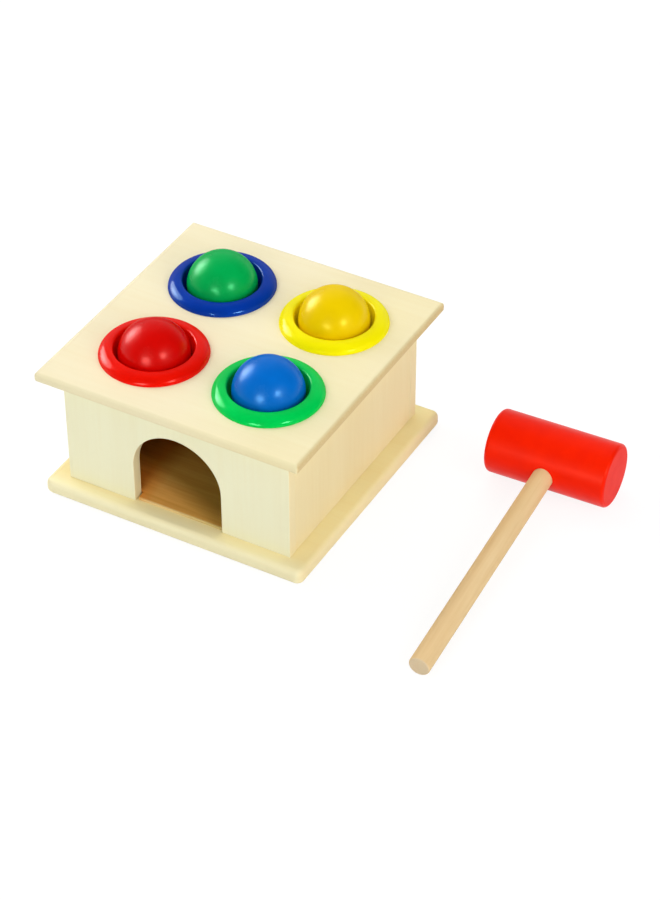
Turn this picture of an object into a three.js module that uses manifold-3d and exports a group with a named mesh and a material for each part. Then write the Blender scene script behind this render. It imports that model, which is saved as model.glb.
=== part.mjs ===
// Ball pounding toy: a wooden box with four painted balls in plastic rings on top, a ramp and an
// arched doorway to let them roll out, and a small mallet that lies beside the box.
// Millimetres, +Z up, origin in the middle of the base plate's underside. The doorway faces -Y.
import * as THREE from "three";
import { mergeVertices } from "three/addons/utils/BufferGeometryUtils.js";
import Module from "manifold-3d";

const wasm = await Module();
wasm.setup();

// Balls and the rings that hold them
const ballDiameter = 30;
const greenRise = 0.4; // middle of each resting ball above the top plate
const yellowRise = 1;
const redRise = -0.2;
const blueRise = 0.7;
const mouthGap = 1.6; // open gap that shows between ball and ring
const ringBand = 6.2; // width of the ring's rounded rim, seen from above
const ringCrown = 3.7; // height of the rim above the top plate
const mouthRound = 1; // rounding of the rim into the mouth
const sleeveWall = 1.4;
const sleeveTail = 3; // how far the sleeve hangs below the top plate
const lipDepth = 3.8; // the lip lies this far below the top of the plate
const lipThickness = 1;
const ringGap = 7.9; // between the rims of neighbouring rings
const patternShift = 1.25; // the four holes sit a little right of the middle

// Boards
const wallThickness = 5;
const wallHeight = 51.5;
const topThickness = 5;
const baseThickness = 7;
const sideOverhang = 8.6; // plates beyond the side walls
const topFrontOverhang = 7.95; // top plate beyond the front and back walls
const baseFrontOverhang = 6.75; // base plate beyond the front and back walls
const topEdgeFlat = 0.6; // straight band between the two roundings of the top plate's edge
const baseEdgeFlat = 2;
const topFaceCorner = 0.4; // corner radius of a plate's flat face, inside its rounded edges
const baseFaceCorner = 0.8;
const sleeveToSideWall = 1.5;
const sleeveToFrontWall = 3.75;

// Doorway and ramp
const doorWidth = 41.3;
const lintelHeight = 12.2; // wood left above the crown of the arch
const rampSlope = 8; // degrees
const rampThickness = 3;
const rampLip = 1.2; // height of the ramp's thin front edge
const tongueSetback = 1.2; // ramp's front edge behind the front of the wall
const tongueGap = 0.8; // ramp's tongue to each side of the doorway
const wedgeWidth = 8;
const wedgeToe = 2; // height of a wedge at its low end

// Nails in the base
const nailDiameter = 1.4;
const nailHeadDiameter = 2.6;
const nailHeadThickness = 0.6;
const nailLength = 18;
const nailPoint = 1.5;
const nailSink = 0.3; // heads stop this far inside the underside

// Mallet
const headDiameter = 27.5;
const headLength = 53.7;
const headRound = 1;
const handleDiameter = 9;
const handleReach = 130; // from the axis of the head to the end of the handle
const handleChamfer = 0.8;
const boreFloor = 5.5; // wood left in the head behind the handle's bore
const malletGap = 33.05; // from the plates' right edge to the head
const malletBack = 47.75; // head's middle behind the middle of the box
const malletTurn = 2.1; // degrees, seen from above

// Clearances
const fitGap = 0.3; // boards and rings in their openings
const seatGap = 0.25; // ball on its lip, ramp on its wedges
const gluedGap = 0.15; // handle in its bore
const nailGap = 0.1;

// Facets of the round pieces
const ringFacets = 40;
const rimSteps = 5;
const mouthSteps = 3;
const archSteps = 24;
const cornerSteps = 4;
const edgeSteps = 3;
const nailFacets = 10;
const headFacets = 48;
const handleFacets = 24;
const ballDetail = 4;

// Mesh work
const quarterTurn = Math.PI / 2;
const weldDistance = 1e-4; // vertices closer than this are one

// Places that follow from the sizes above
const ballRadius = ballDiameter / 2;
const mouthRadius = ballRadius + mouthGap;
const ringRadius = mouthRadius + ringBand;
const sleeveRadius = mouthRadius + sleeveWall;
const holeRadius = sleeveRadius + fitGap;
const pitch = 2 * ringRadius + ringGap;
const insideWidth = pitch + 2 * (Math.abs(patternShift) + sleeveRadius + sleeveToSideWall);
const insideDepth = pitch + 2 * (sleeveRadius + sleeveToFrontWall);
const boxWidth = insideWidth + 2 * wallThickness;
const boxDepth = insideDepth + 2 * wallThickness;
const plateWidth = boxWidth + 2 * sideOverhang;
const topDepth = boxDepth + 2 * topFrontOverhang;
const baseDepth = boxDepth + 2 * baseFrontOverhang;
const wallTop = baseThickness + wallHeight;
const topFace = wallTop + topThickness;
const headRadius = headDiameter / 2;

// Materials
const finish = (color, roughness) => new THREE.MeshStandardMaterial({ color, roughness, metalness: 0 });
const plateWood = finish(0xf1e6c6, 0.6);
const wallWood = finish(0xe9e2bf, 0.65);
const rampWood = finish(0xd9bd84, 0.7);
const handleWood = finish(0xe3c596, 0.6);
const nailSteel = new THREE.MeshStandardMaterial({ color: 0xb4b4b0, roughness: 0.4, metalness: 1 });
const malletPaint = finish(0xf02808, 0.4);
const ringGloss = 0.2;
const ballGloss = 0.25;
const ringBlue = finish(0x0a2fa0, ringGloss);
const ringYellow = finish(0xfff010, ringGloss);
const ringRed = finish(0xe81208, ringGloss);
const ringGreen = finish(0x00c850, ringGloss);
const ballGreen = finish(0x00904a, ballGloss);
const ballYellow = finish(0xe6be00, ballGloss);
const ballRed = finish(0xc80a08, ballGloss);
const ballBlue = finish(0x0058b8, ballGloss);

// Closed geometry to solid, solid back to geometry
function solidOf(geometry) {
  const bare = new THREE.BufferGeometry();
  bare.setAttribute("position", geometry.getAttribute("position"));
  bare.setIndex(geometry.index);
  const merged = mergeVertices(bare, weldDistance);
  return new wasm.Manifold(
    new wasm.Mesh({
      numProp: 3,
      vertProperties: merged.getAttribute("position").array,
      triVerts: new Uint32Array(merged.index.array),
    }),
  );
}

function geometryOf(solid) {
  const mesh = solid.getMesh();
  const geometry = new THREE.BufferGeometry();
  geometry.setAttribute("position", new THREE.BufferAttribute(mesh.vertProperties, 3));
  geometry.setIndex(new THREE.BufferAttribute(mesh.triVerts, 1));
  geometry.computeVertexNormals();
  return geometry;
}

function cut(geometry, tools) {
  const left = tools.reduce((solid, tool) => solid.subtract(solidOf(tool)), solidOf(geometry));
  return geometryOf(left);
}

function piece(name, geometry, material) {
  const mesh = new THREE.Mesh(geometry, material);
  mesh.name = name;
  return mesh;
}

// Outlines
function arcPoints(centreX, centreY, radius, start, end, steps) {
  return Array.from({ length: steps + 1 }, (_, i) => {
    const angle = start + ((end - start) * i) / steps;
    return new THREE.Vector2(centreX + radius * Math.cos(angle), centreY + radius * Math.sin(angle));
  });
}

function roundedRectangle(width, depth, radius) {
  const reachX = width / 2 - radius;
  const reachY = depth / 2 - radius;
  const corners = [
    [reachX, -reachY, -quarterTurn],
    [reachX, reachY, 0],
    [-reachX, reachY, quarterTurn],
    [-reachX, -reachY, 2 * quarterTurn],
  ];
  const points = corners.flatMap(([x, y, start]) =>
    arcPoints(x, y, radius, start, start + quarterTurn, cornerSteps),
  );
  return new THREE.Shape(points);
}

// A plate with rounded edges, standing on z = 0
function roundedPlate(width, depth, thickness, edgeFlat, faceCorner) {
  const edgeRound = (thickness - edgeFlat) / 2;
  const outline = roundedRectangle(width, depth, faceCorner + edgeRound);
  const plate = new THREE.ExtrudeGeometry(outline, {
    depth: edgeFlat,
    bevelEnabled: true,
    bevelThickness: edgeRound,
    bevelSize: edgeRound,
    bevelOffset: -edgeRound,
    bevelSegments: edgeSteps,
  });
  return plate.translate(0, 0, edgeRound);
}

// A side view drawn in Y and Z, made into a bar that is centred on x = 0
function barAlongX(sideView, width) {
  const outline = new THREE.Shape(sideView.map(([y, z]) => new THREE.Vector2(y, z)));
  const bar = new THREE.ExtrudeGeometry(outline, { depth: width, bevelEnabled: false });
  bar.rotateZ(quarterTurn);
  bar.rotateY(quarterTurn);
  return bar.translate(-width / 2, 0, 0);
}

function turned(profile, facets) {
  const points = profile.map(([radius, height]) => new THREE.Vector2(radius, height));
  return new THREE.LatheGeometry(points, facets);
}

// Nails stand under the middle of each wall's edge
const jambToEnd = (doorWidth + boxWidth) / 4;
const sideWallMiddle = (boxWidth - wallThickness) / 2;
const frontWallMiddle = (boxDepth - wallThickness) / 2;
const nailPlaces = [-1, 1].flatMap((side) => [
  [jambToEnd * side, -frontWallMiddle],
  [jambToEnd * side, frontWallMiddle],
  [-sideWallMiddle, (pitch / 2) * side],
  [sideWallMiddle, (pitch / 2) * side],
]);

function nailGeometry(clearance, underside) {
  const shank = nailDiameter / 2 + clearance;
  const head = nailHeadDiameter / 2 + clearance;
  const headTop = nailSink + nailHeadThickness + clearance;
  const tip = nailLength + clearance;
  const profile = [
    [0, underside],
    [head, underside],
    [head, headTop],
    [shank, headTop],
    [shank, tip - nailPoint],
    [0, tip],
  ];
  return turned(profile, nailFacets).rotateX(quarterTurn);
}

const nailBores = nailPlaces.map(([x, y]) => nailGeometry(nailGap, -nailSink).translate(x, y, 0));

// Plates
function basePlate() {
  const plate = roundedPlate(plateWidth, baseDepth, baseThickness, baseEdgeFlat, baseFaceCorner);
  return piece("base_plate", cut(plate, nailBores), plateWood);
}

const ballPlaces = {
  backLeft: [patternShift - pitch / 2, pitch / 2],
  backRight: [patternShift + pitch / 2, pitch / 2],
  frontLeft: [patternShift - pitch / 2, -pitch / 2],
  frontRight: [patternShift + pitch / 2, -pitch / 2],
};

function topPlate() {
  const plate = roundedPlate(plateWidth, topDepth, topThickness, topEdgeFlat, topFaceCorner);
  const holes = Object.values(ballPlaces).map(([x, y]) => {
    const hole = new THREE.CylinderGeometry(holeRadius, holeRadius, 2 * topThickness, ringFacets);
    return hole.rotateX(quarterTurn).translate(x, y, topThickness / 2);
  });
  const bored = piece("top_plate", cut(plate, holes), plateWood);
  bored.position.z = wallTop;
  return bored;
}

// Walls: the front and back ones cover the ends of the side ones
function crossWall(name, outline, y) {
  const board = new THREE.ExtrudeGeometry(outline, { depth: wallThickness, bevelEnabled: false });
  board.rotateX(quarterTurn);
  board.translate(0, y + wallThickness / 2, baseThickness);
  return piece(name, cut(board, nailBores), wallWood);
}

function frontWall() {
  const archRadius = doorWidth / 2;
  const spring = wallHeight - lintelHeight - archRadius;
  const points = [
    new THREE.Vector2(-boxWidth / 2, 0),
    new THREE.Vector2(-archRadius, 0),
    ...arcPoints(0, spring, archRadius, Math.PI, 0, archSteps),
    new THREE.Vector2(archRadius, 0),
    new THREE.Vector2(boxWidth / 2, 0),
    new THREE.Vector2(boxWidth / 2, wallHeight),
    new THREE.Vector2(-boxWidth / 2, wallHeight),
  ];
  return crossWall("front_wall", new THREE.Shape(points), -frontWallMiddle);
}

function backWall() {
  const points = [
    new THREE.Vector2(-boxWidth / 2, 0),
    new THREE.Vector2(boxWidth / 2, 0),
    new THREE.Vector2(boxWidth / 2, wallHeight),
    new THREE.Vector2(-boxWidth / 2, wallHeight),
  ];
  return crossWall("back_wall", new THREE.Shape(points), frontWallMiddle);
}

function sideWall(name, side) {
  const board = new THREE.BoxGeometry(wallThickness, insideDepth, wallHeight);
  board.translate(side * sideWallMiddle, 0, baseThickness + wallHeight / 2);
  return piece(name, cut(board, nailBores), wallWood);
}

// Ramp: planed flat underneath where it lies on the base, with a tongue through the doorway
const rampGrade = Math.tan(THREE.MathUtils.degToRad(rampSlope));
const rampDepth = rampThickness / Math.cos(THREE.MathUtils.degToRad(rampSlope));
const rampFront = -boxDepth / 2 + tongueSetback;
const rampBack = insideDepth / 2 - fitGap;
const rampTopAt = (y) => baseThickness + rampLip + rampGrade * (y - rampFront);
const rampUnderAt = (y) => rampTopAt(y) - rampDepth;
const rampLiftsAt = rampFront + (rampDepth - rampLip) / rampGrade;

function ramp() {
  const sideView = [
    [rampFront, baseThickness],
    [rampLiftsAt, baseThickness],
    [rampBack, rampUnderAt(rampBack)],
    [rampBack, rampTopAt(rampBack)],
    [rampFront, rampTopAt(rampFront)],
  ];
  const width = insideWidth - 2 * fitGap;
  const tongueHalf = doorWidth / 2 - tongueGap;
  const notchBack = -insideDepth / 2 + fitGap;
  const notchWidth = width / 2;
  const notchDepth = 2 * (notchBack - rampFront);
  const notchHeight = 2 * rampTopAt(rampBack);
  const notches = [-1, 1].map((side) => {
    const notch = new THREE.BoxGeometry(notchWidth, notchDepth, notchHeight);
    return notch.translate(side * (tongueHalf + notchWidth / 2), notchBack - notchDepth / 2, 0);
  });
  return piece("ramp", cut(barAlongX(sideView, width), notches), rampWood);
}

function rampWedge(name, side) {
  const toe = rampLiftsAt + (wedgeToe + seatGap) / rampGrade;
  const sideView = [
    [toe, baseThickness],
    [rampBack, baseThickness],
    [rampBack, rampUnderAt(rampBack) - seatGap],
    [toe, rampUnderAt(toe) - seatGap],
  ];
  const wedge = piece(name, barAlongX(sideView, wedgeWidth), rampWood);
  wedge.position.x = (side * (insideWidth - wedgeWidth)) / 2;
  return wedge;
}

// A ring seen in half section: rounded rim, mouth, lip stretched by the ball, sleeve through the plate
function ringGeometry(ballRise) {
  const crestRadius = mouthRadius + mouthRound;
  const crestHeight = ringCrown - mouthRound;
  const rim = arcPoints(0, 0, 1, 0, quarterTurn, rimSteps).map((p) => [
    crestRadius + (ringRadius - crestRadius) * p.x,
    ringCrown * p.y,
  ]);
  const mouth = arcPoints(
    crestRadius,
    crestHeight,
    mouthRound,
    quarterTurn,
    2 * quarterTurn,
    mouthSteps,
  );
  const lipRadius = Math.sqrt((ballRadius + seatGap) ** 2 - (ballRise + lipDepth) ** 2);
  const tail = -topThickness - sleeveTail;
  const profile = [
    ...rim,
    ...mouth.slice(1).map((p) => [p.x, p.y]),
    [mouthRadius, 0],
    [lipRadius, -lipDepth],
    [lipRadius, -lipDepth - lipThickness],
    [mouthRadius, tail + lipThickness],
    [mouthRadius, tail],
    [sleeveRadius, tail],
    [sleeveRadius, 0],
    rim[0],
  ];
  return turned(profile, ringFacets).rotateX(quarterTurn);
}

function ringAndBall([x, y], ringName, ringMaterial, ballName, ballMaterial, ballRise) {
  const seat = new THREE.Group();
  seat.position.set(x, y, topFace);
  seat.add(piece(ringName, ringGeometry(ballRise), ringMaterial));
  const ball = new THREE.IcosahedronGeometry(ballRadius, ballDetail);
  ball.translate(0, 0, ballRise);
  seat.add(piece(ballName, ball, ballMaterial));
  return seat;
}

// Mallet: it lies on the round of its head and on the end of its handle
function mallet() {
  const boreEnd = headRadius - boreFloor;
  const rimX = headLength / 2 - headRound;
  const rimRadius = headRadius - headRound;
  const rounded = [
    ...arcPoints(rimRadius, -rimX, headRound, -quarterTurn, 0, cornerSteps),
    ...arcPoints(rimRadius, rimX, headRound, 0, quarterTurn, cornerSteps),
  ];
  const headProfile = [[0, -headLength / 2], ...rounded.map((p) => [p.x, p.y]), [0, headLength / 2]];
  const head = turned(headProfile, headFacets).rotateZ(-quarterTurn);
  const boreLength = boreEnd + headDiameter;
  const boreRadius = handleDiameter / 2 + gluedGap;
  const bore = new THREE.CylinderGeometry(boreRadius, boreRadius, boreLength, handleFacets);
  bore.translate(0, boreEnd - boreLength / 2, 0);

  const handleRadius = handleDiameter / 2;
  const handleProfile = [
    [0, -handleReach],
    [handleRadius - handleChamfer, -handleReach],
    [handleRadius, -handleReach + handleChamfer],
    [handleRadius, boreEnd - gluedGap],
    [0, boreEnd - gluedGap],
  ];

  const restLength = handleReach - handleChamfer;
  const tilt =
    Math.asin(headRadius / Math.hypot(restLength, handleRadius)) - Math.atan(handleRadius / restLength);
  const tilted = new THREE.Group();
  tilted.rotation.x = tilt;
  tilted.add(piece("hammer_head", cut(head, [bore]), malletPaint));
  tilted.add(piece("hammer_handle", turned(handleProfile, handleFacets), handleWood));

  const placed = new THREE.Group();
  placed.position.set(plateWidth / 2 + malletGap + headLength / 2, malletBack, headRadius);
  placed.rotation.z = THREE.MathUtils.degToRad(malletTurn);
  placed.add(tilted);
  return placed;
}

const toy = new THREE.Group();
toy.add(basePlate(), topPlate(), frontWall(), backWall());
toy.add(sideWall("left_wall", -1), sideWall("right_wall", 1));
toy.add(ramp(), rampWedge("ramp_wedge_left", -1), rampWedge("ramp_wedge_right", 1));
nailPlaces.forEach(([x, y], i) => {
  const nail = piece(`base_nail_${i + 1}`, nailGeometry(0, nailSink), nailSteel);
  nail.position.set(x, y, 0);
  toy.add(nail);
});
const { backLeft, backRight, frontLeft, frontRight } = ballPlaces;
toy.add(ringAndBall(backLeft, "ring_blue", ringBlue, "ball_green", ballGreen, greenRise));
toy.add(ringAndBall(backRight, "ring_yellow", ringYellow, "ball_yellow", ballYellow, yellowRise));
toy.add(ringAndBall(frontLeft, "ring_red", ringRed, "ball_red", ballRed, redRise));
toy.add(ringAndBall(frontRight, "ring_green", ringGreen, "ball_blue", ballBlue, blueRise));
toy.add(mallet());

export default toy;
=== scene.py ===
# Ball pounding toy: fine meshes and finishes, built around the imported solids.
# Metres, +Z up, origin in the middle of the base plate's underside. The doorway faces -Y.
import math

import bmesh
import bpy
from mathutils import Euler, Matrix, Quaternion, Vector, noise

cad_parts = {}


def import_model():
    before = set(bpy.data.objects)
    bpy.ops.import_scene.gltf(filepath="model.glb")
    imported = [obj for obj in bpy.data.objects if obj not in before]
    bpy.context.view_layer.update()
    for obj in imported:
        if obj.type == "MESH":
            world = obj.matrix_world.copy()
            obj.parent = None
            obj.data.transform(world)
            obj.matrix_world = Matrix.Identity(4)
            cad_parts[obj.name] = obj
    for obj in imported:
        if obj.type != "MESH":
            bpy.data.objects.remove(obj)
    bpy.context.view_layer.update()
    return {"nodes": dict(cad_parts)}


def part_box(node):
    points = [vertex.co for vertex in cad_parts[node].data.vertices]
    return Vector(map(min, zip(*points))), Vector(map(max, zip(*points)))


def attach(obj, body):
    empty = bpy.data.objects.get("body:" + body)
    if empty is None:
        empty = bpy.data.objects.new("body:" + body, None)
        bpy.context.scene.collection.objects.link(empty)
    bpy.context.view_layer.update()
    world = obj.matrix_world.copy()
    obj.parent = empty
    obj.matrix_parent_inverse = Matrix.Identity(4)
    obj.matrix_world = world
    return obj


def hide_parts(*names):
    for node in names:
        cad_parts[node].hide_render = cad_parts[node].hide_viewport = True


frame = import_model()

MM = 0.001

# Camera, solved from the straight edges of the box. Lens and sensor are in millimetres.
CAMERA_PLACE = Vector((0.48424, -0.78627, 0.75532))
CAMERA_TARGET = Vector((0.04982, -0.01592, 0.035))
CAMERA_ROLL = math.radians(-0.2)
LENS = 113.15
SENSOR = 36

# Boards
TOP_TRIM = 0.15 * MM
TOP_ROUND = 1.8 * MM
TOP_CORNER = 0.7 * MM
LEAST_CORNER = 0.1 * MM
BASE_EDGE_FLAT = 2 * MM
BASE_FACE_CORNER = 0.8 * MM
PLATE_ROUND_STEPS = 10
HOLE_ROUND_STEPS = 5
WALL_ROUND = 0.35 * MM
WALL_ROUND_STEPS = 3
FLAT_MARGIN = 0.25 * MM
CORNER_STEPS = 8
HOLE_RADIUS = 18.3 * MM
HOLE_ROUND = 0.2 * MM
DOOR_WIDTH = 41.3 * MM
LINTEL_HEIGHT = 12.2 * MM
ARCH_STEPS = 48
SHARP_ANGLE = math.radians(35)
FLAT_FACE_WEIGHT = 100

# Ramp
RAMP_LIP = 1.2 * MM
RAMP_THICKNESS = 3 * MM
TONGUE_GAP = 0.8 * MM
FIT_GAP = 0.3 * MM
RAMP_ROUND = 0.25 * MM
RAMP_ROUND_STEPS = 2
RAMP_ROUND_PROFILE = 0.5
RAMP_SHARP_ANGLE = math.radians(30)

# Nails
NAIL_HEAD_THICKNESS = 0.6 * MM
NAIL_SHANK_RADIUS = 0.7 * MM
NAIL_POINT = 1.5 * MM
NAIL_DOME = 0.15 * MM
NAIL_DOME_BEND = (0.7, 0.5)
NAIL_HOLE_GAP = 0.1 * MM
NAIL_HOLE_ROUND = 0.08 * MM
NAIL_STEPS = 32

# Balls and rings
BALL_RADIUS = 15 * MM
BALL_INSET = 0.1 * MM
BALL_CUTS = 23
PAINT_RIPPLE = 0.02 * MM
PAINT_RIPPLE_SCALE = 3
MOUTH_GAP = 1.6 * MM
MOUTH_ROUND = 1 * MM
SLEEVE_WALL = 1.4 * MM
LIP_DEPTH = 3.8 * MM
LIP_THICKNESS = 1 * MM
SEAT_GAP = 0.25 * MM
RING_STEPS = 128
RIM_STEPS = 14
MOUTH_STEPS = 6

# Mallet
HEAD_RADIUS = 13.72 * MM
HEAD_LENGTH = 53.7 * MM
HEAD_ROUND = 1.6 * MM
HANDLE_RADIUS = 4.5 * MM
HANDLE_REACH = 129.98 * MM
HANDLE_CHAMFER = 0.8 * MM
BORE_FLOOR = 5.5 * MM
GLUE_GAP = 0.15 * MM
WELD = 0.02 * MM
MALLET_TURN = math.radians(2.1)
HEAD_STEPS = 128
HANDLE_STEPS = 64


# Mesh helpers
def piece_of(name, work):
    """The finished object of a mesh in the making."""
    bmesh.ops.recalc_face_normals(work, faces=work.faces)
    for face in work.faces:
        face.smooth = True
    mesh = bpy.data.meshes.new(name)
    work.to_mesh(mesh)
    work.free()
    mesh.set_sharp_from_angle(angle=SHARP_ANGLE)
    piece = bpy.data.objects.new(name, mesh)
    bpy.context.scene.collection.objects.link(piece)
    return piece


def mesh_piece(name, points, faces):
    work = bmesh.new()
    corners = [work.verts.new(p) for p in points]
    for face in faces:
        work.faces.new([corners[i] for i in face])
    return piece_of(name, work)


def even_shading(piece):
    """Keeps flat faces looking flat beside their rounded edges."""
    modifier = piece.modifiers.new("even_shading", "WEIGHTED_NORMAL")
    modifier.weight = FLAT_FACE_WEIGHT
    modifier.keep_sharp = True


def arc(centre, radius, start, end, steps):
    """Points on an arc, with its angles in degrees."""
    angles = [math.radians(start + (end - start) * i / steps) for i in range(steps + 1)]
    return [Vector(centre) + radius * Vector((math.cos(a), math.sin(a))) for a in angles]


def rounded_rectangle(width, depth, radius):
    x, y = width / 2 - radius, depth / 2 - radius
    corners = [((x, -y), -90), ((x, y), 0), ((-x, y), 90), ((-x, -y), 180)]
    return [p for centre, start in corners for p in arc(centre, radius, start, start + 90, CORNER_STEPS)]


def hole(centre, radius, steps):
    """A circle that runs clockwise, so that the material lies on its left."""
    return arc(centre, radius, 360, 0, steps)[:-1]


def inset(loop, distance):
    """The loop moved towards the material, which lies on its left."""
    moved = []
    for i, point in enumerate(loop):
        before = (point - loop[i - 1]).normalized()
        after = (loop[(i + 1) % len(loop)] - point).normalized()
        left_before = Vector((-before.y, before.x))
        left_after = Vector((-after.y, after.x))
        mitre = (left_before + left_after) / (1 + left_before.dot(left_after))
        moved.append(point + mitre * distance)
    return moved


def edge_rows(thickness, rounding, steps):
    """How far in, and how high, each row of points lies from the top face over the edge to the underside."""
    upper = [(rounding + FLAT_MARGIN, thickness)]
    for i in range(steps + 1):
        angle = math.pi / 2 * i / steps
        upper.append((rounding * (1 - math.sin(angle)), thickness - rounding * (1 - math.cos(angle))))
    return upper + [(back, thickness - z) for back, z in reversed(upper)]


def rim_of(loop, rows):
    """The loops, each with its height, that make up the edge of a board or hole."""
    return [(inset(loop, back), z) for back, z in rows]


def board(name, rims):
    """A board whose first rim is its outline, and whose other rims are its holes."""
    work = bmesh.new()
    lids = ([], [])
    for rim in rims:
        rows = [[work.verts.new((p.x, p.y, z)) for p in loop] for loop, z in rim]
        count = len(rows[0])
        for upper, lower in zip(rows, rows[1:]):
            for i in range(count):
                work.faces.new((upper[i - 1], upper[i], lower[i], lower[i - 1]))
        for lid, row in zip(lids, (rows[0], rows[-1])):
            lid += [work.edges.get((row[i - 1], row[i])) for i in range(count)]
    for lid in lids:
        bmesh.ops.triangle_fill(work, edges=lid, use_beauty=True)
    piece = piece_of(name, work)
    even_shading(piece)
    return piece


def lathe(name, profile, steps, closed=False):
    """The surface that a profile of (radius, height) points sweeps round the Z axis."""
    points, rows, faces = [], [], []
    for radius, height in profile:
        start = len(points)
        if radius == 0:
            points.append((0, 0, height))
            rows.append([start] * steps)
            continue
        angles = [2 * math.pi * i / steps for i in range(steps)]
        points += [(radius * math.cos(a), radius * math.sin(a), height) for a in angles]
        rows.append([start + i for i in range(steps)])
    if closed:
        rows.append(rows[0])
    for lower, higher in zip(rows, rows[1:]):
        for i in range(steps):
            j = (i + 1) % steps
            corners = (lower[i], lower[j], higher[j], higher[i])
            faces.append(tuple(dict.fromkeys(corners)))
    return mesh_piece(name, points, faces)


# Node helpers
def new_material(name):
    made = bpy.data.materials.new(name)
    made.use_nodes = True
    return made, made.node_tree, made.node_tree.nodes["Principled BSDF"]


def add_node(tree, kind, inputs=None, **settings):
    node = tree.nodes.new(kind)
    for key, value in settings.items():
        setattr(node, key, value)
    for key, value in (inputs or {}).items():
        if isinstance(value, bpy.types.NodeSocket):
            tree.links.new(value, node.inputs[key])
        else:
            node.inputs[key].default_value = value
    return node


def noise_of(tree, place, scale, detail, distortion=0):
    inputs = {"Vector": place, "Scale": scale, "Detail": detail, "Distortion": distortion}
    return add_node(tree, "ShaderNodeTexNoise", inputs).outputs["Fac"]


def object_place(tree):
    return add_node(tree, "ShaderNodeTexCoord").outputs["Object"]


def stretched(tree, stretch, shift, turn):
    """Object coordinates, turned back by turn and drawn out along each axis by stretch."""
    inputs = {"Vector": object_place(tree), "Location": (shift,) * 3, "Rotation": turn, "Scale": stretch}
    return add_node(tree, "ShaderNodeMapping", inputs, vector_type="TEXTURE").outputs["Vector"]


def math_of(tree, operation, first, second):
    return add_node(tree, "ShaderNodeMath", {0: first, 1: second}, operation=operation).outputs[0]


def dot_of(tree, first, second):
    inputs = {0: first, 1: second}
    return add_node(tree, "ShaderNodeVectorMath", inputs, operation="DOT_PRODUCT").outputs["Value"]


def facing(tree, way):
    """1 on a face that looks along a line, to either end of it, and 0 on a face beside the line."""
    normal = add_node(tree, "ShaderNodeTexCoord").outputs["Normal"]
    return math_of(tree, "ABSOLUTE", dot_of(tree, normal, way), 0)


def range_of(tree, value, low, high, to_low, to_high):
    inputs = {"Value": value, "From Min": low, "From Max": high, "To Min": to_low, "To Max": to_high}
    return add_node(tree, "ShaderNodeMapRange", inputs).outputs["Result"]


def mixed(tree, factor, first, second, blend="MIX"):
    inputs = {"Factor": factor, 6: first, 7: second}
    return add_node(tree, "ShaderNodeMix", inputs, data_type="RGBA", blend_type=blend).outputs[2]


def bump_of(tree, height, strength, distance):
    inputs = {"Height": height, "Strength": strength, "Distance": distance}
    return add_node(tree, "ShaderNodeBump", inputs).outputs["Normal"]


def linear(red, green, blue):
    """An sRGB colour of 0 to 255, as the shaders take it."""
    shares = [c / 255 for c in (red, green, blue)]
    return [c / 12.92 if c <= 0.04045 else ((c + 0.055) / 1.055) ** 2.4 for c in shares] + [1]


# Finishes
ALONG_X = Vector((1, 0, 0))
ALONG_Y = Vector((0, 1, 0))
ALONG_Z = Vector((0, 0, 1))

# How fine each noise is, and the range of it that shows
GRAIN_STRETCH = 22
BAND_SCALE = 95
FIBRE_SCALE = 700
FLECK_SCALE = 1900
PATCH_SCALE = 22
PORE_SCALE = 1600
CLOUD_SCALE = 120
RIPPLE_SCALE = 500
SCRATCH_SCALE = 2500
NOISE_RANGE = (0.3, 0.7)
STREAK_RANGE = (0.36, 0.66)
FLECK_RANGE = (0.62, 0.8)
PATCH_RANGE = (0.45, 0.75)
PORE_RANGE = (0.4, 0.8)

# How much each noise tells in the colour of wood
BAND_SHARE = 0.6
FIBRE_SHARE = 0.4
FLECK_SHARE = 0.35
PATCH_SHARE = 0.4
PORE_SHARE = 0.5

# How far a face has turned when a tone starts and is full: painted shade on plate edges, end grain, dull paint
EDGE_SHADE_TURN = (0.985, 0.8)
END_TURN = (0.35, 0.95)
DULL_TURN = (0.8, 0.98)

# Surface
WOOD_ROUGHNESS = (0.5, 0.68)
WOOD_SPECULAR = 0.03
FIBRE_BUMP = 0.1
FIBRE_HEIGHT = 0.1 * MM
PAINT_UNEVEN = (0.92, 1.1)
PAINT_RELIEF = 0.05 * MM
GRAZING_GLOSS = 0.03
END_GLOSS = 0.25
STEEL_COLORS = (linear(170, 170, 166), linear(205, 204, 198))
STEEL_ROUGHNESS = (0.3, 0.5)


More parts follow.
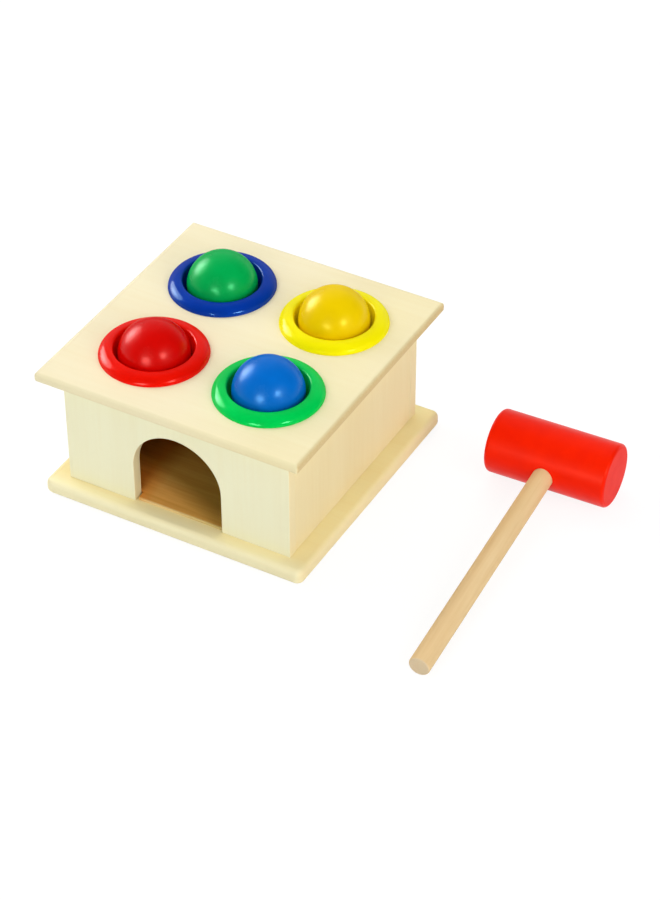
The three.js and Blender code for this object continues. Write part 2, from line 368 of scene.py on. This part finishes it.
def wood(name, pale, streak, end, grain, ends, shift, contrast, turn=(0, 0, 0), painted_light_tones=(), edge=None):
    """Sanded wood. Its grain runs along one axis, and its end colour shows on faces across another.

    A painted tone is a colour of painted light or shade over the wood, the way along which it comes on,
    and where it starts and is full. edge is a painted shade on a plate where its edges turn from its face.
    """
    made, tree, shader = new_material(name)
    stretch = [1 + (GRAIN_STRETCH - 1) * abs(share) for share in grain]
    place = stretched(tree, stretch, shift, turn)
    even = stretched(tree, (1, 1, 1), shift, turn)
    bands = noise_of(tree, place, BAND_SCALE, detail=3, distortion=0.5)
    fibres = noise_of(tree, place, FIBRE_SCALE, detail=4, distortion=0.2)
    flecks = noise_of(tree, place, FLECK_SCALE, detail=2)
    patches = noise_of(tree, even, PATCH_SCALE, detail=2)
    pores = noise_of(tree, even, PORE_SCALE, detail=2)

    broad = math_of(tree, "MULTIPLY", bands, BAND_SHARE)
    fine = math_of(tree, "MULTIPLY", fibres, FIBRE_SHARE)
    both = math_of(tree, "ADD", broad, fine)
    color = mixed(tree, range_of(tree, both, *STREAK_RANGE, 0, contrast), pale, streak)
    color = mixed(tree, range_of(tree, flecks, *FLECK_RANGE, 0, FLECK_SHARE * contrast), color, streak)
    color = mixed(tree, range_of(tree, patches, *PATCH_RANGE, 0, PATCH_SHARE * contrast), color, streak)

    # Painted light and shade, laid over the wood's own colour
    for tone, way, start, full in painted_light_tones:
        along = dot_of(tree, object_place(tree), way)
        color = mixed(tree, range_of(tree, along, start, full, 0, 1), color, tone, "MULTIPLY")
    # Painted shade on a plate's edges, which catch less light than its top face
    if edge:
        level = facing(tree, ALONG_Z)
        color = mixed(tree, range_of(tree, level, *EDGE_SHADE_TURN, 0, 1), color, edge, "MULTIPLY")

    across = ends.copy()
    across.rotate(Euler(turn))
    end_grain = mixed(tree, range_of(tree, pores, *PORE_RANGE, 0, PORE_SHARE * contrast), end, streak)
    color = mixed(tree, range_of(tree, facing(tree, across), *END_TURN, 0, 1), color, end_grain)

    tree.links.new(color, shader.inputs["Base Color"])
    tree.links.new(range_of(tree, fibres, *NOISE_RANGE, *WOOD_ROUGHNESS), shader.inputs["Roughness"])
    tree.links.new(bump_of(tree, fibres, FIBRE_BUMP, FIBRE_HEIGHT), shader.inputs["Normal"])
    shader.inputs["Specular IOR Level"].default_value = WOOD_SPECULAR
    return made


def coat_of_paint(name, color, shade, gloss_tint, roughness, specular, orange_peel, fade, ends=None):
    """Glossy paint or moulded plastic: a slightly uneven colour and a faintly rippled surface.

    Its gloss fades towards grazing sight, as on paint with a fine haze. It is dull on faces across
    ends, where end grain drinks the paint.
    """
    made, tree, shader = new_material(name)
    place = object_place(tree)
    clouds = noise_of(tree, place, CLOUD_SCALE, detail=3)
    ripple = noise_of(tree, place, RIPPLE_SCALE, detail=1)
    tint = mixed(tree, range_of(tree, clouds, *NOISE_RANGE, 0, 1), color, shade)
    tree.links.new(tint, shader.inputs["Base Color"])
    uneven = range_of(tree, clouds, *NOISE_RANGE, *[roughness * share for share in PAINT_UNEVEN])
    tree.links.new(uneven, shader.inputs["Roughness"])
    tree.links.new(bump_of(tree, ripple, orange_peel, PAINT_RELIEF), shader.inputs["Normal"])
    grazing = add_node(tree, "ShaderNodeLayerWeight").outputs["Facing"]
    gloss = range_of(tree, grazing, *fade, specular, GRAZING_GLOSS * specular)
    if ends:
        dull = range_of(tree, facing(tree, ends), *DULL_TURN, 1, END_GLOSS)
        gloss = math_of(tree, "MULTIPLY", gloss, dull)
    tree.links.new(gloss, shader.inputs["Specular IOR Level"])
    shader.inputs["Specular Tint"].default_value = gloss_tint
    return made


def wire_steel(name):
    made, tree, shader = new_material(name)
    scratches = noise_of(tree, object_place(tree), SCRATCH_SCALE, detail=3)
    color = mixed(tree, range_of(tree, scratches, *NOISE_RANGE, 0, 1), *STEEL_COLORS)
    tree.links.new(color, shader.inputs["Base Color"])
    tree.links.new(range_of(tree, scratches, *NOISE_RANGE, *STEEL_ROUGHNESS), shader.inputs["Roughness"])
    shader.inputs["Metallic"].default_value = 1
    return made


def mallet_turn():
    """How the mallet lies, on the round of its head and on the end of its handle."""
    rest = HANDLE_REACH - HANDLE_CHAMFER
    tilt = math.asin(HEAD_RADIUS / math.hypot(rest, HANDLE_RADIUS)) - math.atan(HANDLE_RADIUS / rest)
    return Euler((tilt, 0, MALLET_TURN))


top_wood = wood(
    "top_wood", linear(251, 241, 206), linear(246, 232, 190), linear(220, 196, 142), ALONG_X, ALONG_X,
    shift=0.3, contrast=0.5,
    # Yellower towards the right: painted warm light from the right
    painted_light_tones=[((0.99, 0.98, 0.9, 1), ALONG_X, 0, 45 * MM)],
    # Darker on the edges than on the top face: painted shade
    edge=(0.94, 0.94, 0.9, 1),
)
base_wood = wood(
    "base_wood", linear(249, 242, 202), linear(244, 230, 180), linear(248, 230, 180), ALONG_X, ALONG_X,
    shift=1.7, contrast=0.5,
    # Darker and yellower from the front edge in to the front wall and through the doorway: painted shade under
    # the top plate's overhang
    painted_light_tones=[((0.97, 0.91, 0.75, 1), ALONG_Y, -60 * MM, -52 * MM)],
)
front_wood = wood(
    "front_wood", linear(248, 246, 212), linear(243, 236, 196), linear(245, 229, 182), ALONG_Z, ALONG_X,
    shift=2.9, contrast=0.4,
)
# Warmer than the front and top boards: painted warm light from the right, on both side boards
warm_lit_side_wood = wood(
    "warm_lit_side_wood", linear(246, 231, 184), linear(239, 219, 165), linear(238, 214, 166), ALONG_Z, ALONG_Z,
    shift=4.1, contrast=0.4,
)

# The ramp's tones are painted light and shade: pale on its lip, olive to the right, redder to the left, dark
# further in
ramp_wood = wood(
    "ramp_wood", linear(250, 222, 160), linear(222, 179, 107), linear(229, 196, 132), ALONG_X, ALONG_X,
    shift=5.3, contrast=1,
    painted_light_tones=[
        # Browner behind the lip, so the lip stays pale: a painted highlight on the lip
        ((0.91, 0.625, 0.32, 1), ALONG_Y, -52.2 * MM, -51.5 * MM),
        # Darker and olive to the right: painted shade with painted green bounce light
        ((0.76, 0.82, 0.72, 1), ALONG_X, -10 * MM, 15 * MM),
        # Darker and redder at the far left: painted shade with painted red bounce light
        ((0.92, 0.6, 0.3, 1), -ALONG_X, 14 * MM, 23 * MM),
        # Darker further in, slanting with the jambs: painted shade and painted shadow of the jambs
        ((0.52, 0.54, 0.39, 1), Vector((0.3, 1, 0)), -47.5 * MM, -38.5 * MM),
    ],
)
handle_wood = wood(
    "handle_wood", linear(238, 208, 158), linear(224, 188, 134), linear(222, 202, 168), ALONG_Y, ALONG_Y,
    shift=6.1, contrast=0.8, turn=mallet_turn(),
)
steel = wire_steel("nail_steel")


# Putting a piece in place of its solid
def place_piece(piece, look, body, node):
    piece.data.materials.append(look)
    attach(piece, body)
    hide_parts(node)


def middle(node):
    low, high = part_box(node)
    return (low + high) / 2


RINGS = ["ring_blue", "ring_yellow", "ring_red", "ring_green"]
NAILS = [f"base_nail_{i}" for i in range(1, 9)]


# Plates
def plate(name, node, outline, holes, hole_rounding, look):
    low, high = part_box(node)
    rows = edge_rows(high.z - low.z, hole_rounding, HOLE_ROUND_STEPS)
    piece = board(name, [outline, *[rim_of(loop, rows) for loop in holes]])
    piece.location.z = low.z
    place_piece(piece, look, "box", node)


def top_plate():
    """Its edges are rounded, but its corners stay crisp in plan."""
    low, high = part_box("top_plate")
    wide, deep = high.x - low.x, high.y - low.y
    outline = []
    for back, z in edge_rows(high.z - low.z, TOP_ROUND, PLATE_ROUND_STEPS):
        inward = 2 * (back + TOP_TRIM)
        corner = max(TOP_CORNER - back, LEAST_CORNER)
        outline.append((rounded_rectangle(wide - inward, deep - inward, corner), z))
    holes = [hole(middle(node).xy, HOLE_RADIUS, RING_STEPS) for node in RINGS]
    plate("top_board", "top_plate", outline, holes, HOLE_ROUND, top_wood)


def nail_radius(node):
    low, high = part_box(node)
    return (high.x - low.x) / 2


def base_plate():
    low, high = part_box("base_plate")
    thickness = high.z - low.z
    rounding = (thickness - BASE_EDGE_FLAT) / 2
    plan = rounded_rectangle(high.x - low.x, high.y - low.y, BASE_FACE_CORNER + rounding)
    outline = rim_of(plan, edge_rows(thickness, rounding, PLATE_ROUND_STEPS))
    holes = [hole(middle(node).xy, nail_radius(node) + NAIL_HOLE_GAP, NAIL_STEPS) for node in NAILS]
    plate("base_board", "base_plate", outline, holes, NAIL_HOLE_ROUND, base_wood)


def nails():
    for node in NAILS:
        low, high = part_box(node)
        radius = nail_radius(node)
        length = high.z - low.z
        bend_out, bend_up = NAIL_DOME_BEND
        profile = [
            (0, -NAIL_DOME),
            (radius * bend_out, -NAIL_DOME * bend_up),
            (radius, 0),
            (radius, NAIL_HEAD_THICKNESS),
            (NAIL_SHANK_RADIUS, NAIL_HEAD_THICKNESS),
            (NAIL_SHANK_RADIUS, length - NAIL_POINT),
            (0, length),
        ]
        piece = lathe(node.replace("base_", "fine_"), profile, NAIL_STEPS)
        even_shading(piece)
        piece.location = (*middle(node).xy, low.z)
        place_piece(piece, steel, "box", node)


# Walls
def cross_wall(name, node, outline, look):
    """A front or back wall: its outline is drawn in X and Z, and its thickness runs along Y."""
    low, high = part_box(node)
    piece = board(name, [rim_of(outline, edge_rows(high.y - low.y, WALL_ROUND, WALL_ROUND_STEPS))])
    piece.data.transform(Matrix.Rotation(math.pi / 2, 4, "X"))
    piece.location = (middle(node).x, high.y, low.z)
    place_piece(piece, look, "box", node)


def wall_corners(width, height):
    half = width / 2
    return [Vector(p) for p in ((-half, 0), (half, 0), (half, height), (-half, height))]


def front_wall():
    low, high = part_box("front_wall")
    width, height = high.x - low.x, high.z - low.z
    radius = DOOR_WIDTH / 2
    spring = height - LINTEL_HEIGHT - radius
    left, right, top_right, top_left = wall_corners(width, height)
    doorway = [Vector((-radius, 0)), *arc((0, spring), radius, 180, 0, ARCH_STEPS), Vector((radius, 0))]
    cross_wall("front_board", "front_wall", [left, *doorway, right, top_right, top_left], front_wood)


def back_wall():
    low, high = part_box("back_wall")
    cross_wall("back_board", "back_wall", wall_corners(high.x - low.x, high.z - low.z), front_wood)


def side_wall(name, node):
    low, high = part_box(node)
    outline = wall_corners(high.y - low.y, high.z - low.z)
    piece = board(name, [rim_of(outline, edge_rows(high.x - low.x, WALL_ROUND, WALL_ROUND_STEPS))])
    to_side = Matrix(((0, 0, 1, 0), (1, 0, 0, 0), (0, 1, 0, 0), (0, 0, 0, 1)))
    piece.data.transform(to_side)
    piece.location = (low.x, middle(node).y, low.z)
    place_piece(piece, warm_lit_side_wood, "box", node)


# Ramp: flat underneath where it lies on the base, with a tongue through the doorway
def ramp():
    low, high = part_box("ramp")
    grade = (high.z - low.z - RAMP_LIP) / (high.y - low.y)
    depth = RAMP_THICKNESS * math.hypot(1, grade)
    lifts_at = low.y + (depth - RAMP_LIP) / grade
    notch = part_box("front_wall")[1].y + FIT_GAP
    wide = high.x
    tongue = DOOR_WIDTH / 2 - TONGUE_GAP
    right_side = [(tongue, low.y), (tongue, notch), (wide, notch), (wide, lifts_at), (wide, high.y)]
    plan = right_side + [(-x, y) for x, y in reversed(right_side)]
    count = len(plan)

    tops = [(x, y, low.z + RAMP_LIP + grade * (y - low.y)) for x, y in plan]
    unders = [(x, y, max(low.z, z - depth)) for x, y, z in tops]
    lift_right = right_side.index((wide, lifts_at))
    lift_left = count - 1 - lift_right
    flat = [i + count for i in range(count) if i not in (lift_right + 1, lift_left - 1)]
    sloped = [lift_right, lift_right + 1, lift_left - 1, lift_left]
    faces = [tuple(range(count)), tuple(flat), tuple(i + count for i in sloped)]
    faces += [(i, (i + 1) % count, (i + 1) % count + count, i + count) for i in range(count)]
    piece = mesh_piece("ramp_board", tops + unders, faces)

    work = bmesh.new()
    work.from_mesh(piece.data)
    sharp = [edge for edge in work.edges if edge.calc_face_angle(0) > RAMP_SHARP_ANGLE]
    bmesh.ops.bevel(
        work, geom=sharp, offset=RAMP_ROUND, segments=RAMP_ROUND_STEPS, profile=RAMP_ROUND_PROFILE,
        affect="EDGES",
    )
    work.to_mesh(piece.data)
    work.free()
    piece.data.set_sharp_from_angle(angle=math.pi)
    even_shading(piece)
    place_piece(piece, ramp_wood, "box", "ramp")


def ramp_wedges():
    for node in ("ramp_wedge_left", "ramp_wedge_right"):
        materials = frame["nodes"][node].data.materials
        materials.clear()
        materials.append(ramp_wood)


# Rings and balls
def ring(name, node, ball_node, look):
    """Half section: rounded rim, mouth, lip under the ball, sleeve through the plate."""
    low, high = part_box(node)
    plate_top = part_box("top_plate")[1].z
    outer = (high.x - low.x) / 2
    crown = high.z - plate_top
    tail = low.z - plate_top
    mouth = BALL_RADIUS + MOUTH_GAP
    sleeve = mouth + SLEEVE_WALL
    crest = mouth + MOUTH_ROUND
    rise = middle(ball_node).z - plate_top
    lip = math.sqrt((BALL_RADIUS + SEAT_GAP) ** 2 - (rise + LIP_DEPTH) ** 2)
    rim = [(crest + (outer - crest) * p.x, crown * p.y) for p in arc((0, 0), 1, 0, 90, RIM_STEPS)]
    inner = arc((crest, crown - MOUTH_ROUND), MOUTH_ROUND, 90, 180, MOUTH_STEPS)
    profile = [
        *rim,
        *[tuple(p) for p in inner[1:]],
        (mouth, 0),
        (lip, -LIP_DEPTH),
        (lip, -LIP_DEPTH - LIP_THICKNESS),
        (mouth, tail + LIP_THICKNESS),
        (mouth, tail),
        (sleeve, tail),
        (sleeve, 0),
    ]
    piece = lathe(name, profile, RING_STEPS, closed=True)
    even_shading(piece)
    piece.location = (*middle(node).xy, plate_top)
    place_piece(piece, look, "box", node)


def ball(name, node, look):
    """A turned ball under paint that ran a little before it dried."""
    work = bmesh.new()
    bmesh.ops.create_cube(work, size=2)
    bmesh.ops.subdivide_edges(work, edges=work.edges, cuts=BALL_CUTS, use_grid_fill=True)
    for vertex in work.verts:
        way = vertex.co.normalized()
        ripple = PAINT_RIPPLE * (noise.noise(way * PAINT_RIPPLE_SCALE) - 1)
        vertex.co = way * (BALL_RADIUS - BALL_INSET + ripple)
    piece = piece_of(name, work)
    piece.location = middle(node)
    place_piece(piece, look, node, node)


RING_COLORS = {
    "blue": (linear(6, 58, 170), linear(4, 52, 158)),
    "yellow": (linear(255, 244, 10), linear(252, 238, 4)),
    "red": (linear(242, 20, 4), linear(234, 14, 2)),
    "green": (linear(0, 212, 88), linear(0, 202, 80)),
}
BALL_COLORS = {
    "green": (linear(0, 178, 84), linear(0, 170, 78)),
    "yellow": (linear(246, 210, 0), linear(240, 202, 0)),
    "red": (linear(220, 6, 2), linear(210, 3, 0)),
    "blue": (linear(0, 110, 208), linear(0, 104, 200)),
}
GLOSS_TINTS = {
    "blue": (0.3, 0.7, 1, 1),
    "yellow": (1, 0.9, 0.15, 1),
    "red": (1, 0.3, 0.26, 1),
    "green": (0.25, 1, 0.5, 1),
}
GLOSS_FADE = (0.4, 0.65)
RING_ROUGHNESS = 0.13
RING_PEEL = 0.02
BALL_ROUGHNESS = 0.26
BALL_PEEL = 0.05
PAINT_SPECULAR = 0.25


def rings_and_balls():
    pairs = [("blue", "green"), ("yellow", "yellow"), ("red", "red"), ("green", "blue")]
    for ring_color, ball_color in pairs:
        ring_look = coat_of_paint(
            f"{ring_color}_plastic", *RING_COLORS[ring_color], GLOSS_TINTS[ring_color],
            RING_ROUGHNESS, PAINT_SPECULAR, RING_PEEL, GLOSS_FADE,
        )
        ball_look = coat_of_paint(
            f"{ball_color}_paint", *BALL_COLORS[ball_color], GLOSS_TINTS[ball_color],
            BALL_ROUGHNESS, PAINT_SPECULAR, BALL_PEEL, GLOSS_FADE,
        )
        ring(f"{ring_color}_ring", f"ring_{ring_color}", f"ball_{ball_color}", ring_look)
        ball(f"{ball_color}_ball", f"ball_{ball_color}", ball_look)


# Mallet
HEAD_COLORS = (linear(251, 33, 0), linear(244, 27, 0))
HEAD_GLOSS = (1, 0.22, 0.13, 1)
HEAD_ROUGHNESS = 0.32
HEAD_SPECULAR = 0.24
HEAD_PEEL = 0.1
HEAD_FADE = (0.4, 1)


def place_mallet_piece(piece, look, node):
    even_shading(piece)
    piece.data.transform(mallet_turn().to_matrix().to_4x4())
    piece.location = middle("hammer_head")
    place_piece(piece, look, "hammer", node)


def mallet_head():
    rim = HEAD_RADIUS - HEAD_ROUND
    end = HEAD_LENGTH / 2 - HEAD_ROUND
    edge = arc((rim, end), HEAD_ROUND, 0, 90, CORNER_STEPS)
    half = [*[tuple(p) for p in edge], (0, HEAD_LENGTH / 2)]
    profile = [(radius, -height) for radius, height in reversed(half)] + half
    piece = lathe("mallet_head", profile, HEAD_STEPS)
    piece.data.transform(Matrix.Rotation(math.pi / 2, 4, "Y"))

    bore_end = HEAD_RADIUS - BORE_FLOOR
    bore_radius = HANDLE_RADIUS + GLUE_GAP
    bore = lathe(
        "bore",
        [(0, -bore_end), (bore_radius, -bore_end), (bore_radius, 2 * HEAD_RADIUS), (0, 2 * HEAD_RADIUS)],
        HANDLE_STEPS,
    )
    bore.data.transform(Matrix.Rotation(math.pi / 2, 4, "X"))
    cut = piece.modifiers.new("bore", "BOOLEAN")
    cut.object = bore
    cut.solver = "EXACT"
    shape = piece.evaluated_get(bpy.context.evaluated_depsgraph_get())
    bored = bpy.data.meshes.new_from_object(shape)
    piece.modifiers.remove(cut)
    piece.data = bored
    work = bmesh.new()
    work.from_mesh(bored)
    bmesh.ops.remove_doubles(work, verts=work.verts, dist=WELD)
    bmesh.ops.dissolve_degenerate(work, dist=WELD, edges=work.edges)
    many_sided = [face for face in work.faces if len(face.verts) > 4]
    bmesh.ops.triangulate(work, faces=many_sided)
    work.to_mesh(bored)
    work.free()
    piece.data.set_sharp_from_angle(angle=SHARP_ANGLE)
    bpy.data.objects.remove(bore)
    look = coat_of_paint(
        "head_paint", *HEAD_COLORS, HEAD_GLOSS, HEAD_ROUGHNESS, HEAD_SPECULAR, HEAD_PEEL, HEAD_FADE, ALONG_X
    )
    place_mallet_piece(piece, look, "hammer_head")


def mallet_handle():
    bore_end = HEAD_RADIUS - BORE_FLOOR - GLUE_GAP
    rounded = arc(
        (HANDLE_RADIUS - HANDLE_CHAMFER, HANDLE_REACH - HANDLE_CHAMFER), HANDLE_CHAMFER, 0, 90, CORNER_STEPS
    )
    profile = [(0, -bore_end), (HANDLE_RADIUS, -bore_end), *[tuple(p) for p in rounded], (0, HANDLE_REACH)]
    piece = lathe("mallet_handle", profile, HANDLE_STEPS)
    piece.data.transform(Matrix.Rotation(math.pi / 2, 4, "X"))
    place_mallet_piece(piece, handle_wood, "hammer_handle")


# Stage
FLOOR_SIZE = 8
FLOOR_BOUNCE = 0.85
FLOOR_SHADE = 0.2
FLOOR_GLOW = 0.85
FLOOR_FADE = (0.4, 1.2)
AMBIENT_LOW = 0.18
AMBIENT_HIGH = 0.44
BACKDROP_WAY = (-0.85, 0.53, 0)
BACKDROP_RANGE = (-0.1, 0.5)
BACKDROP_HEIGHT = (0.1, 0.7)
BACKDROP_TOP = 0.4
DARK_ROOM = 0.06
LAMP_AIM = Vector((0.02, 0, 0.05))
LAMP_DISTANCE = 1.3

# Name, way, width and power of each lamp. The gleams show only in gloss.
LIGHTS = [
    ("soft_box", (-0.4, 0.6, 0.69), 1.2, 4.9),
    ("left_fill", (-0.84, 0.08, 0.54), 0.9, 6.6),
    ("front_fill", (0.08, -0.87, 0.48), 1, 5.05),
    ("right_fill", (0.88, -0.24, 0.42), 1, 7.8),
]
GLEAMS = [
    ("left_gleam", (-0.911, 0.079, 0.404), 0.46, 8),
    ("left_glow", (-0.911, 0.079, 0.404), 0.95, 19),
    ("front_gleam", (0.075, -0.977, 0.201), 0.48, 14),
    ("right_gleam", (0.804, -0.414, 0.427), 0.36, 11),
]


def seen_rays(tree):
    """1 for rays that show the background by sight, reflection or through glass."""
    path = add_node(tree, "ShaderNodeLightPath").outputs
    seen = math_of(tree, "MAXIMUM", path["Is Camera Ray"], path["Is Glossy Ray"])
    return math_of(tree, "MAXIMUM", seen, path["Is Transmission Ray"])


def floor():
    half = FLOOR_SIZE / 2
    corners = [(-half, -half, 0), (half, -half, 0), (half, half, 0), (-half, half, 0)]
    piece = mesh_piece("floor", corners, [(0, 1, 2, 3)])
    look, tree, shader = new_material("floor_white")
    tree.nodes.remove(shader)
    bounce = add_node(tree, "ShaderNodeBsdfDiffuse", {"Color": (FLOOR_BOUNCE,) * 3 + (1,)}).outputs[0]
    shade = add_node(tree, "ShaderNodeBsdfDiffuse", {"Color": (FLOOR_SHADE,) * 3 + (1,)}).outputs[0]
    inputs = {0: object_place(tree)}
    far = add_node(tree, "ShaderNodeVectorMath", inputs, operation="LENGTH").outputs["Value"]
    strength = range_of(tree, far, *FLOOR_FADE, FLOOR_GLOW, 1)
    glow = add_node(tree, "ShaderNodeEmission", {"Strength": strength}).outputs[0]
    white = add_node(tree, "ShaderNodeAddShader", {0: shade, 1: glow}).outputs[0]
    both = add_node(tree, "ShaderNodeMixShader", {0: seen_rays(tree), 1: bounce, 2: white}).outputs[0]
    tree.links.new(both, tree.nodes["Material Output"].inputs["Surface"])
    piece.data.materials.append(look)


def world():
    """White to the eye. As light it is brighter overhead, and in gloss it is a backdrop behind on the left."""
    made = bpy.data.worlds.new("studio")
    bpy.context.scene.world = made
    made.use_nodes = True
    tree = made.node_tree
    path = add_node(tree, "ShaderNodeLightPath").outputs
    way = add_node(tree, "ShaderNodeTexCoord").outputs["Generated"]
    parts = add_node(tree, "ShaderNodeSeparateXYZ", {"Vector": way}).outputs
    ambient = range_of(tree, parts["Z"], 0, 1, AMBIENT_LOW, AMBIENT_HIGH)
    towards = dot_of(tree, way, BACKDROP_WAY)
    backdrop = range_of(tree, towards, *BACKDROP_RANGE, DARK_ROOM, 1)
    fading = range_of(tree, parts["Z"], *BACKDROP_HEIGHT, 1, BACKDROP_TOP)
    mirrored = math_of(tree, "MULTIPLY", backdrop, fading)
    unseen = add_node(tree, "ShaderNodeMix", {0: path["Is Glossy Ray"], 2: ambient, 3: mirrored}).outputs[0]
    sight = math_of(tree, "MAXIMUM", path["Is Camera Ray"], path["Is Transmission Ray"])
    strength = add_node(tree, "ShaderNodeMix", {0: sight, 2: unseen, 3: 1}).outputs[0]
    tree.links.new(strength, tree.nodes["Background"].inputs["Strength"])
    tree.nodes["Background"].inputs["Color"].default_value = (1, 1, 1, 1)


def lamp(name, way, size, power, mirrored=False):
    """A round lamp, which either lights the object or shows only as a reflection in its gloss."""
    data = bpy.data.lights.new(name, "AREA")
    data.shape = "DISK"
    data.size = size
    data.energy = power
    made = bpy.data.objects.new(name, data)
    bpy.context.scene.collection.objects.link(made)
    way = Vector(way).normalized()
    made.location = LAMP_AIM + way * LAMP_DISTANCE
    made.rotation_mode = "QUATERNION"
    made.rotation_quaternion = (-way).to_track_quat("-Z", "Y")
    made.visible_glossy = mirrored
    made.visible_diffuse = not mirrored


def camera():
    data = bpy.data.cameras.new("photo_camera")
    data.sensor_width = SENSOR
    data.lens = LENS
    made = bpy.data.objects.new("photo_camera", data)
    bpy.context.scene.collection.objects.link(made)
    made.location = CAMERA_PLACE
    made.rotation_mode = "QUATERNION"
    level = (CAMERA_TARGET - CAMERA_PLACE).to_track_quat("-Z", "Y")
    made.rotation_quaternion = level @ Quaternion((0, 0, 1), CAMERA_ROLL)
    bpy.context.scene.camera = made


camera()
world()
floor()
for row in LIGHTS:
    lamp(*row)
for row in GLEAMS:
    lamp(*row, mirrored=True)

top_plate()
base_plate()
nails()
front_wall()
back_wall()
side_wall("left_board", "left_wall")
side_wall("right_board", "right_wall")
ramp()
ramp_wedges()
rings_and_balls()
mallet_head()
mallet_handle()

bpy.context.scene.view_settings.view_transform = "Standard"
